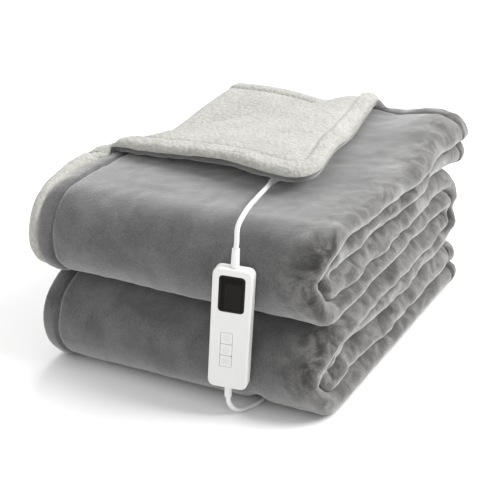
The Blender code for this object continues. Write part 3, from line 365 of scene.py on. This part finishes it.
def smooth_route(route, spacing):
    """Points a spacing apart along a natural cubic spline through the route's points."""
    knots = np.array(route, float)
    reach = np.r_[0.0, np.cumsum(np.linalg.norm(np.diff(knots, axis=0), axis=1))]
    step = np.diff(reach)
    count = len(knots)
    matrix = np.eye(count)
    right = np.zeros_like(knots)
    for i in range(1, count - 1):
        matrix[i, i - 1 : i + 2] = step[i - 1], 2 * (step[i - 1] + step[i]), step[i]
        slopes = np.diff(knots[i - 1 : i + 2], axis=0) / step[i - 1 : i + 1, None]
        right[i] = 6 * (slopes[1] - slopes[0])
    bend = np.linalg.solve(matrix, right)
    fine = []
    for i in range(count - 1):
        part = np.linspace(0, 1, 40, endpoint=i == count - 2)[:, None]
        line = (1 - part) * knots[i] + part * knots[i + 1]
        cubic = ((1 - part) ** 3 - (1 - part)) * bend[i] + (part**3 - part) * bend[i + 1]
        fine.append(line + cubic * step[i] ** 2 / 6)
    fine = np.concatenate(fine)
    run = np.r_[0.0, np.cumsum(np.linalg.norm(np.diff(fine, axis=0), axis=1))]
    even = np.linspace(0, run[-1], max(2, round(run[-1] / spacing) + 1))
    return np.stack([np.interp(even, run, fine[:, k]) for k in range(3)], axis=1)


def coil_route():
    """The coil's turns, wound to and fro in three rows, with a sixth of a turn for each change of place."""
    turns = len(COIL_ORDER) + 0.25
    angles = np.linspace(0, 2 * math.pi * turns, round(turns * 36) + 1)[1:-1]
    points = []
    for angle in angles:
        turn = angle / (2 * math.pi)
        here = min(int(turn), len(COIL_ORDER) - 1)
        later = min(here + 1, len(COIL_ORDER) - 1)
        change = min(max((turn - here - 5 / 6) * 6, 0.0), 1.0)
        change = change * change * (3 - 2 * change)
        ring, level = ((1 - change) * np.array(COIL_ORDER[here]) + change * np.array(COIL_ORDER[later]))
        radius = np.interp(ring, (0, 1, 2), COIL_RADII)
        height = np.interp(level, (0, 1, 2), COIL_LEVELS)
        points.append((COIL_MIDDLE[0] + radius * math.cos(angle),
                       COIL_MIDDLE[1] + radius * math.sin(angle), height))
    return points


def add_cord(name, points, radius):
    data = bpy.data.curves.new(name, "CURVE")
    data.dimensions = "3D"
    data.bevel_depth = radius
    data.bevel_resolution = 4
    data.use_fill_caps = True
    line = data.splines.new("POLY")
    line.points.add(len(points) - 1)
    for spot, point in zip(line.points, points):
        spot.co = (*point, 1)
    line.use_smooth = True
    return add_piece(name, data, FINISHES["white_cord"], "control_lead")


output = add_cord("output_flex", smooth_route(OUTPUT_ROUTE, 0.0025), CORD_RADIUS)
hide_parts("output_cord")

mains = add_cord("mains_flex", smooth_route([*LEAD_ROUTE, *coil_route(), *TAIL_ROUTE], 0.0025), CORD_RADIUS)
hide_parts("mains_lead", "mains_coil", "plug_tail")

# ---------------------------------------------------------------- noise


def scatter(cells, seed):
    """A fixed number from -1 to 1 for each cell, a row of whole numbers."""
    mixed = np.full(cells.shape[:-1], seed * 7919, np.int64)
    for k, prime in zip(range(cells.shape[-1]), (73856093, 19349663, 83492791)):
        mixed ^= cells[..., k] * prime
    mixed = (mixed ^ (mixed >> 13)) * 1274126177 & 0xFFFFFFFF
    mixed = (mixed ^ (mixed >> 15)) * 668265263 & 0xFFFFFFFF
    return ((mixed >> 8) & 0xFFFF) / 32767.5 - 1


def noise(points, size, seed):
    """Smooth noise from -1 to 1 that changes over that size."""
    scaled = points / size
    low = np.floor(scaled).astype(np.int64)
    part = scaled - low
    part = part * part * (3 - 2 * part)
    total = np.zeros(len(points))
    for corner in itertools.product((0, 1), repeat=points.shape[1]):
        weight = np.prod(np.where(corner, part, 1 - part), axis=1)
        total += weight * scatter(low + np.array(corner), seed)
    return total


def tufts(across, down, size, seed):
    """Round tufts on the flat cloth, from 0 between them to 1 on top."""
    spot = np.stack([across, down], axis=1) / size
    cell = np.floor(spot).astype(np.int64)
    nearest = np.full(len(across), 9.0)
    for step in itertools.product((-1, 0, 1), repeat=2):
        other = cell + np.array(step)
        aside = np.stack([scatter(other, seed), scatter(other, seed + 1)], axis=1) * 0.36
        nearest = np.minimum(nearest, np.linalg.norm(other + 0.5 + aside - spot, axis=1))
    return np.sqrt(np.clip(1 - (nearest / 0.82) ** 2, 0, 1))


def step_up(value):
    value = np.clip(value, 0, 1)
    return value * value * (3 - 2 * value)


def hump(value, middle, half):
    """1 at the middle and 0 past half, smoothly."""
    return step_up(1 - np.abs(value - middle) / half)


# ---------------------------------------------------------------- folding the cloth


def zigzag(along, offset, span, pitch):
    """Places and heights of a strip's points, folded in four as the CAD model folds it."""
    turn = math.pi * pitch / 2
    place = np.zeros(len(along))
    height = np.zeros(len(along))
    rest = along.copy()
    todo = np.ones(len(along), bool)
    for number, panel in enumerate((span - pitch, span - 2 * pitch, span - 2 * pitch, span - pitch)):
        side = 1 if number % 2 == 0 else -1
        level = (3.5 - number) * pitch
        flat = todo if number == 3 else todo & (rest <= panel)
        start = 0 if number == 0 else pitch if side > 0 else span - pitch
        place[flat] = (start + side * rest)[flat]
        height[flat] = (level + side * offset)[flat]
        todo = todo & ~flat
        rest = rest - panel
        bent = todo & (rest < turn)
        radius = pitch / 2 + side * offset
        middle = span - pitch if side > 0 else pitch
        place[bent] = (middle + side * radius * np.sin(2 * rest / pitch))[bent]
        height[bent] = (level - pitch / 2 + radius * np.cos(2 * rest / pitch))[bent]
        todo = todo & ~bent
        rest = rest - turn
    return place, height


CREASE_ALONG = (CREASE_END - CREASE_START) / np.linalg.norm(CREASE_END - CREASE_START)
CREASE_OUT = np.array([CREASE_ALONG[1], -CREASE_ALONG[0]])
CORNER_PAST = -CREASE_START @ CREASE_OUT
TIP_SLIDE = TIP @ CREASE_ALONG + CREASE_START @ CREASE_ALONG


def flap_lift(place, past, radius):
    """Height of the turned-back corner over the layer below it, raised round the socket."""
    low = LAYER_PITCH + FLAP_REST
    rest = 2 * radius + (low - 2 * radius) * step_up((past - math.pi * radius) / 0.06)
    x = place[:, 0] - PILE_WIDTH / 2
    y = PILE_DEPTH / 2 - place[:, 1]
    along = np.maximum(0.0, np.abs(y - SOCKET[1] + 0.040) - 0.030)
    away = np.hypot(x - SOCKET[0], along)
    left, right = ROOM_FADE
    fade = left + (right - left) * step_up((x - SOCKET[0] + 0.020) / 0.070)
    room = 1 - step_up((away - ROOM_RADIUS) / fade)
    return rest + (ROOM_LIFT - rest) * room


def turn_back(across, down, offset):
    """Turn the back left corner of the top layer over its crease."""
    point = np.stack([across, down], axis=1) - CREASE_START
    past = point @ CREASE_OUT
    along = point @ CREASE_ALONG + TIP_SLIDE * past / CORNER_PAST
    low, high = CREASE_RADII
    radius = low + (high - low) * step_up(point @ CREASE_ALONG / CREASE_OPENS)
    bend = math.pi * radius
    angle = past / radius
    stretch = -(TIP @ CREASE_OUT) / (CORNER_PAST - bend)
    out = np.where(past < bend, (radius - offset) * np.sin(angle), -(past - bend) * stretch)
    place = CREASE_START + along[:, None] * CREASE_ALONG + out[:, None] * CREASE_OUT
    height = np.where(past < bend, radius - (radius - offset) * np.cos(angle),
                      flap_lift(place, past, radius) - offset)
    stays = past <= 0
    return (np.where(stays, across, place[:, 0]), np.where(stays, down, place[:, 1]),
            np.where(stays, offset, height))


def settle(x, y, z):
    """Set the pile down over the mains lead, with its back a little fuller than its front."""
    z = z - FLOOR
    over = (GROOVE_FOOT - np.abs(x - LEAD_X)) / (GROOVE_FOOT - GROOVE_FLAT)
    z = z + GROOVE_HEIGHT * np.clip(over, 0, 1) * np.maximum(0, 1 - z / (STACK_PITCH - FLOOR))
    return np.stack([x, y, z * (1 + BACK_RISE * (y / PILE_DEPTH + 0.5))], axis=1)


def relax(points):
    """Soft unevenness of the whole pile, which fades out at the floor and behind the control."""
    x, y, z = points.T
    moved = points.copy()

    # How much of each effect a point takes, from 0 to 1
    top = z / PILE_HEIGHT
    rise = step_up(z / 0.030)
    right = step_up((x - 0.02) / 0.13)
    front = step_up((0.06 - y) / 0.22)
    edge = step_up((x - 0.05) / 0.10)
    free = np.clip(1 - hump(x, 0.074, 0.036) * step_up((-0.150 - y) / 0.04), 0, 1)

    # The right side: inner layers drawn in between the two rolls' outsides, and crumpled
    inner = hump(z, 0.150, 0.043) + hump(z, 0.052, 0.040)
    between = hump(z, 0.1005, 0.020)
    on_side = np.stack([y, z * 1.7], axis=1)
    crumple = noise(on_side, 0.036, 31) + 0.55 * noise(on_side, 0.017, 32)
    moved[:, 0] -= edge * (0.013 * inner * (0.5 + 0.5 * front) + 0.008 * between)
    moved[:, 0] += rise * edge * crumple * (0.0016 + 0.0030 * inner)

    # Slack all over, with more of it to the right
    moved[:, 0] += rise * (0.0034 * right + 0.0012) * noise(points, 0.060, 3)
    moved[:, 1] += rise * free * (0.0032 * noise(points, 0.085, 5) + 0.0010 * noise(points, 0.032, 6))
    moved[:, 2] += rise * (0.0022 + 0.0016 * right) * noise(points, 0.100, 7) * (1 - 0.4 * top)
    moved[:, 2] += rise * (0.0008 + 0.0010 * right) * noise(points, 0.040, 8)

    # The back: its left corner drawn in, the layers fuller, and pressed down at the crease's end
    behind = step_up((y - 0.020) / 0.19)
    moved[:, 0] += 0.016 * behind * step_up((0.02 - x) / 0.16) * top
    fuller = 0.012 * step_up((0.180 - x) / 0.05) + 0.012 * step_up((0.020 - x) / 0.12)
    moved[:, 2] += behind * fuller * top
    pressed = np.exp(-(((x - 0.080) / 0.034) ** 2) - ((y - 0.208) / 0.070) ** 2)
    moved[:, 2] -= 0.010 * pressed * top
    moved[:, 2] = np.maximum(moved[:, 2], ABOVE_FLOOR)
    return moved


def fold(across, down, offset):
    """Folded places, in metres, of points of the flat cloth."""
    top = (across < PILE_WIDTH - LAYER_PITCH) & (down < PILE_DEPTH - STACK_PITCH)
    turned = turn_back(across[top], down[top], offset[top])
    across, down, offset = across.copy(), down.copy(), offset.copy()
    across[top], down[top], offset[top] = turned
    place, height = zigzag(across, offset, PILE_WIDTH, LAYER_PITCH)
    out, z = zigzag(down, height - 2 * LAYER_PITCH, PILE_DEPTH, STACK_PITCH)
    return relax(settle(place - PILE_WIDTH / 2, PILE_DEPTH / 2 - out, z))


# ---------------------------------------------------------------- the cloth's layers

EDGE = (0, 0.0004, 0.0012, 0.0024, 0.0042, 0.0064, 0.0086, 0.0108, 0.0130, 0.0152, 0.0172, 0.0186,
        0.0200, 0.0214, 0.0230, 0.0250)
TURN = math.pi * LAYER_PITCH / 2
ACROSS_TURNS = [
    (PILE_WIDTH - LAYER_PITCH, PILE_WIDTH - LAYER_PITCH + TURN),
    (2 * PILE_WIDTH - 3 * LAYER_PITCH + TURN, 2 * PILE_WIDTH - 3 * LAYER_PITCH + 2 * TURN),
    (3 * PILE_WIDTH - 5 * LAYER_PITCH + 2 * TURN, 3 * PILE_WIDTH - 5 * LAYER_PITCH + 3 * TURN),
]


def grid_lines(length, plain, zones):
    """Places of a grid's lines: close together at both edges and in each zone of (start, end, spacing)."""
    edge = np.array(EDGE)
    inner = np.linspace(edge[-1], length - edge[-1], 20001)
    spacing = np.full(inner.shape, plain)
    for start, end, close in zones:
        spacing[(inner >= start) & (inner <= end)] = close
    count = np.r_[0.0, np.cumsum(np.diff(inner) / spacing[1:])]
    middle = np.interp(np.linspace(0, count[-1], round(count[-1]) + 1), count, inner)
    return np.concatenate([edge[:-1], middle, length - edge[-2::-1]])


def grid_faces(columns, rows):
    first = (np.arange(columns - 1)[:, None] * rows + np.arange(rows - 1)).ravel()
    return np.stack([first, first + rows, first + rows + 1, first + 1], axis=1)


def flat_grid(across_lines, down_lines):
    """The flat cloth's points, with rounded corners, each point's distance from the edge, and the faces."""
    across, down = (grid.ravel() for grid in np.meshgrid(across_lines, down_lines, indexing="ij"))
    near = np.minimum(across, CLOTH_WIDTH - across)
    close = np.minimum(down, CLOTH_LENGTH - down)
    corner = (near < CLOTH_CORNER) & (close < CLOTH_CORNER)
    a = np.where(corner, 1 - near / CLOTH_CORNER, 0)
    b = np.where(corner, 1 - close / CLOTH_CORNER, 0)
    round_a = a * np.sqrt(1 - b * b / 2)
    round_b = b * np.sqrt(1 - a * a / 2)
    to_edge = np.where(corner, CLOTH_CORNER * (1 - np.hypot(round_a, round_b)), np.minimum(near, close))
    near = np.where(corner, CLOTH_CORNER * (1 - round_a), near)
    close = np.where(corner, CLOTH_CORNER * (1 - round_b), close)
    across = np.where(across < CLOTH_WIDTH / 2, near, CLOTH_WIDTH - near)
    down = np.where(down < CLOTH_LENGTH / 2, close, CLOTH_LENGTH - close)
    return across, down, to_edge, grid_faces(len(across_lines), len(down_lines))


def hem_shape(to_edge, full, inside):
    """Offset of a face: a rounded nose at the edge, a puffy hem and a stitched groove behind it."""
    nose = np.sqrt(1 - (1 - np.clip(to_edge / 0.0042, 0, 1)) ** 2)
    puff = HEM_PUFF * np.sin(np.clip(to_edge / HEM, 0, 1) * math.pi)
    groove = HEM_GROOVE * np.exp(-(((to_edge - HEM) / GROOVE_WIDE) ** 2))
    side = 1 if full > inside else -1
    return inside + (full - inside) * nose + side * (puff * nose - groove)


def add_layer(name, points, faces, finish):
    data = bpy.data.meshes.new(name)
    data.from_pydata(points.tolist(), [], faces.tolist())
    data.shade_smooth()
    return add_piece(name, data, FINISHES[finish], "throw")


def add_plush():
    """The grey face, with its hem and a slightly uneven pile."""
    zones = [(start - 0.030, end + 0.014, 0.0026) for start, end in ACROSS_TURNS]
    zones.insert(0, (0.345, CLOTH_WIDTH, 0.0095))
    across, down, to_edge, faces = flat_grid(grid_lines(CLOTH_WIDTH, 0.0042, zones),
                                             grid_lines(CLOTH_LENGTH, 0.0046, []))
    flat = np.stack([across, down], axis=1)
    offset = hem_shape(to_edge, HALF_CLOTH, PLUSH_INSIDE)
    offset += 0.0010 * noise(flat, 0.009, 13) * step_up((HEM + 0.004 - to_edge) / 0.006) * (to_edge > 0.002)
    offset += 0.00045 * noise(flat, 0.011, 11) * np.clip(to_edge / 0.004, 0, 1)
    offset += 0.00025 * noise(flat, 0.0055, 12) * np.clip(to_edge / 0.004, 0, 1)
    return add_layer("plush_cloth", fold(across, down, offset), faces[:, ::-1], "grey_plush")


def add_sherpa():
    """The pale lining, with tufts of pile where it shows."""
    across_zones = [(start, end, 0.0026) for start, end in ACROSS_TURNS]
    across, down, to_edge, faces = flat_grid(
        grid_lines(CLOTH_WIDTH, 0.0100, [(0.0, 0.262, 0.0021), *across_zones]),
        grid_lines(CLOTH_LENGTH, 0.0100, [(0.0, 0.310, 0.0022), (0.310, 0.50, 0.0034)]))
    seen = step_up((0.500 - down) / 0.02) * step_up((0.275 - across) / 0.02)
    pile = tufts(across, down, 0.0052, 21)
    offset = hem_shape(to_edge, -HALF_CLOTH, SHERPA_INSIDE)
    curly = 0.0009 + 0.0009 * step_up((HEM + 0.002 - to_edge) / 0.004)
    offset -= seen * np.clip(to_edge / 0.0024, 0, 1) * (curly * pile - 0.0004)
    offset -= seen * 0.0006 * noise(np.stack([across, down], axis=1), 0.014, 23)

    # A round rim outside the hem, over the left shoulder and fullest beside the crease
    rolled = step_up((down - 0.252) / 0.030) * step_up((0.470 - down) / 0.060) * (across < RIM_END)
    lifted = step_up((0.400 - down) / 0.080)
    turn = np.radians(40 - 60 * lifted + (230 + 60 * lifted) * np.clip(across / RIM_ROUND, 0, 1))
    round_pile = 0.0066 + 0.0018 * lifted + 0.0014 * pile
    beside = round_pile * np.cos(turn) - RIM_OUT - 0.0020 * lifted
    back_in = np.clip((across - RIM_ROUND) / (RIM_END - RIM_ROUND), 0, 1)
    beside += back_in * (RIM_END + RIM_OUT + 0.0020 * lifted)
    above = np.where(across < RIM_ROUND, round_pile * np.sin(turn) + 0.0040 * lifted, offset)
    shift_across = across + (beside - across) * rolled
    shift_offset = offset + (above - offset) * rolled
    return add_layer("sherpa_cloth", fold(shift_across, down, shift_offset), faces, "cream_sherpa")


def add_carrier():
    """The thin felt between them that holds the heating wire."""
    columns, rows = 261, 200
    across, down = (grid.ravel() for grid in np.meshgrid(
        np.linspace(CARRIER_INSET, CLOTH_WIDTH - CARRIER_INSET, columns),
        np.linspace(CARRIER_INSET, CLOTH_LENGTH - CARRIER_INSET, rows), indexing="ij"))
    faces = grid_faces(columns, rows)
    offset = np.full(len(across), sum(CARRIER_LEVELS) / 2)
    return add_layer("carrier_cloth", fold(across, down, offset), faces[:, ::-1], "nonwoven")


def capsules(starts, ends, radius):
    """Points and faces of six-sided stitches between pairs of points."""
    way = ends - starts
    way /= np.maximum(np.linalg.norm(way, axis=1, keepdims=True), 1e-9)
    aside = np.cross(way, np.where(np.abs(way[:, 2:3]) < 0.8, (0.0, 0.0, 1.0), (1.0, 0.0, 0.0)))
    aside /= np.linalg.norm(aside, axis=1, keepdims=True)
    upward = np.cross(way, aside)
    points = []
    for share, wide in ((0.0, 0.45), (0.22, 1.0), (0.78, 1.0), (1.0, 0.45)):
        for k in range(6):
            turn = math.radians(60 * k)
            ring = aside * math.cos(turn) + upward * math.sin(turn)
            points.append(starts + (ends - starts) * share + ring * radius * wide)
    points = np.stack(points, axis=1)
    faces = [tuple(range(5, -1, -1)), tuple(range(18, 24))]
    for ring in range(3):
        for k in range(6):
            here = 6 * ring + k
            there = 6 * ring + (k + 1) % 6
            faces.append((here, there, there + 6, here + 6))
    total = [tuple(24 * n + v for v in face) for n in range(len(starts)) for face in faces]
    return points.reshape(-1, 3), total


def add_stitches(name, full, inside, finish):
    """The hem's row of stitches, lying in its groove on one face of the cloth."""
    rows = []
    for side in (HEM, CLOTH_WIDTH - HEM):
        for start in np.arange(CLOTH_CORNER + 0.004, CLOTH_LENGTH - CLOTH_CORNER - 0.006, STITCH_STEP):
            rows.append((side, start, side, start + STITCH))
    for side in (HEM, CLOTH_LENGTH - HEM):
        for start in np.arange(CLOTH_CORNER + 0.004, CLOTH_WIDTH - CLOTH_CORNER - 0.006, STITCH_STEP):
            rows.append((start, side, start + STITCH, side))
    rows = np.array(rows)
    level = hem_shape(np.full(len(rows), HEM), full, inside) + (0.0003 if full > inside else -0.0003)
    points, faces = capsules(fold(rows[:, 0], rows[:, 1], level), fold(rows[:, 2], rows[:, 3], level), 0.0006)
    data = bpy.data.meshes.new(name)
    data.from_pydata(points.tolist(), [], faces)
    data.shade_smooth()
    return add_piece(name, data, finish, "throw")


def add_wire():
    """The heating wire, run to and fro across the cloth with round turns."""
    left, right = WIRE_INSET, CLOTH_WIDTH - WIRE_INSET
    rows = np.arange(WIRE_START, CLOTH_LENGTH - WIRE_START, 2 * WIRE_TURN)
    flat = []
    for number, down in enumerate(rows):
        ends = (left, right) if number % 2 == 0 else (right, left)
        flat += [(x, down) for x in np.linspace(*ends, 120)]
        if number + 1 < len(rows):
            side = 1 if number % 2 == 0 else -1
            for angle in np.linspace(-math.pi / 2, math.pi / 2, 9)[1:-1]:
                flat.append((ends[1] + side * WIRE_TURN * math.cos(angle),
                             down + WIRE_TURN + WIRE_TURN * math.sin(angle)))
    flat = np.array(flat)
    points = fold(flat[:, 0], flat[:, 1], np.full(len(flat), WIRE_LEVEL))
    data = bpy.data.curves.new("wire_run", "CURVE")
    data.dimensions = "3D"
    data.bevel_depth = WIRE_RADIUS
    data.bevel_resolution = 1
    data.use_fill_caps = True
    line = data.splines.new("POLY")
    line.points.add(len(points) - 1)
    for spot, point in zip(line.points, points):
        spot.co = (*point, 1)
    return add_piece("wire_run", data, FINISHES["heating_wire"], "throw")


plush = add_plush()
sherpa = add_sherpa()
carrier = add_carrier()
wire = add_wire()
grey_stitches = add_stitches("grey_stitches", HALF_CLOTH, PLUSH_INSIDE, THREAD)
pale_stitches = add_stitches("pale_stitches", -HALF_CLOTH, SHERPA_INSIDE, PALE_THREAD)
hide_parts("plush_face")
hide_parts("sherpa_lining")
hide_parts("heating_carrier")
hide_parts("heating_wire")

# ---------------------------------------------------------------- the hand control's details


def ribbon(path, width, level, thick, closed=False):
    """A flat printed line, slightly raised: points and faces of a strip along a path of (across, up)."""
    path = [Vector(point) for point in path]
    count = len(path)
    points = []
    for i, point in enumerate(path):
        before = path[i - 1] if i or closed else point
        after = path[(i + 1) % count] if i + 1 < count or closed else point
        way = (after - before).normalized()
        side = Vector((-way.y, way.x)) * width / 2
        for place, depth in ((point + side, level), (point - side, level), (point - side, level - thick),
                             (point + side, level - thick)):
            points.append((place.x, depth, place.y))
    faces = []
    for i in range(count if closed else count - 1):
        a = 4 * i
        b = 4 * ((i + 1) % count)
        for k in range(4):
            m = (k + 1) % 4
            faces.append((a + k, a + m, b + m, b + k))
    if not closed:
        faces += [(3, 2, 1, 0), tuple(4 * (count - 1) + k for k in range(4))]
    return points, faces


def circle(middle, radius, start=0, end=360, steps=28):
    angles = [math.radians(start + (end - start) * i / steps) for i in range(steps + (end - start < 360))]
    return [(middle[0] + radius * math.sin(a), middle[1] + radius * math.cos(a)) for a in angles]


def add_icon(name, body, up, strokes):
    """Thin raised print on a key: each stroke is (path, closed), around the key's middle."""
    points, faces = [], []
    for path, closed in strokes:
        line = [(KEY_ASIDE + x, up + z) for x, z in path]
        more_points, more_faces = ribbon(line, 0.00052, KEY_FACE - 0.00002, 0.00009, closed)
        faces += [tuple(len(points) + v for v in face) for face in more_faces]
        points += more_points
    data = bpy.data.meshes.new(name)
    data.from_pydata([CONTROL @ Vector(point) for point in points], [], faces)
    return add_piece(name, data, ICON, body)


def wave(middle):
    return [(middle + 0.0005 * math.sin(z * 1900), z) for z in np.linspace(-0.0024, 0.0024, 15)]


add_icon("timer_mark", "timer_button", KEYS["timer_button"],
         [(circle((0, 0), 0.0026), True), ([(0, 0.0016), (0, 0), (0.0012, -0.0007)], False)])
add_icon("power_mark", "power_button", KEYS["power_button"],
         [(circle((0, -0.0002), 0.0025, 38, 322), False), ([(0, 0.0029), (0, 0.0003)], False)])
add_icon("heat_mark", "heat_button", KEYS["heat_button"],
         [(wave(-0.0018), False), (wave(0.0), False), (wave(0.0018), False)])

# ---------------------------------------------------------------- carried CAD nodes

for name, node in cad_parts.items():
    for spot in node.material_slots:
        plain = spot.material.name.split(".")[0]
        if plain in FINISHES:
            spot.material = FINISHES[plain]
    node.data.shade_smooth()
    node.data.set_sharp_from_angle(angle=math.radians(38))

# ---------------------------------------------------------------- floor and light


def add_floor():
    data = bpy.data.meshes.new("floor")
    data.from_pydata([(-9, -9, 0), (9, -9, 0), (9, 9, 0), (-9, 9, 0)], [], [(0, 1, 2, 3)])
    made = Finish("floor_white", Roughness=0.7, Specular_IOR_Level=0.1)
    made.colour(made.ramp(made.noise(3, 2), (0.3, grey(0.88)), (0.7, grey(0.90))))
    floor = bpy.data.objects.new("floor", data)
    bpy.context.scene.collection.objects.link(floor)
    data.materials.append(made.material)


def add_light(name, place, size, power, target=(0, 0, 0.1)):
    data = bpy.data.lights.new(name, "AREA")
    data.shape = "DISK"
    data.size = size
    data.energy = power
    light = bpy.data.objects.new(name, data)
    bpy.context.scene.collection.objects.link(light)
    light.location = place
    light.rotation_euler = (Vector(target) - Vector(place)).to_track_quat("-Z", "Y").to_euler()


add_floor()
add_light("key_light", (2.4, 0.5, 2.3), 1.8, 112)
add_light("fill_light", (-1.6, -1.9, 1.5), 2.4, 12)
add_light("back_light", (-0.7, 2.4, 2.2), 1.8, 46)
world = bpy.data.worlds.new("studio")
world.use_nodes = True
world.node_tree.nodes["Background"].inputs["Color"].default_value = (1, 1, 1, 1)
world.node_tree.nodes["Background"].inputs["Strength"].default_value = 0.84
bpy.context.scene.world = world
bpy.context.scene.view_settings.view_transform = "Standard"
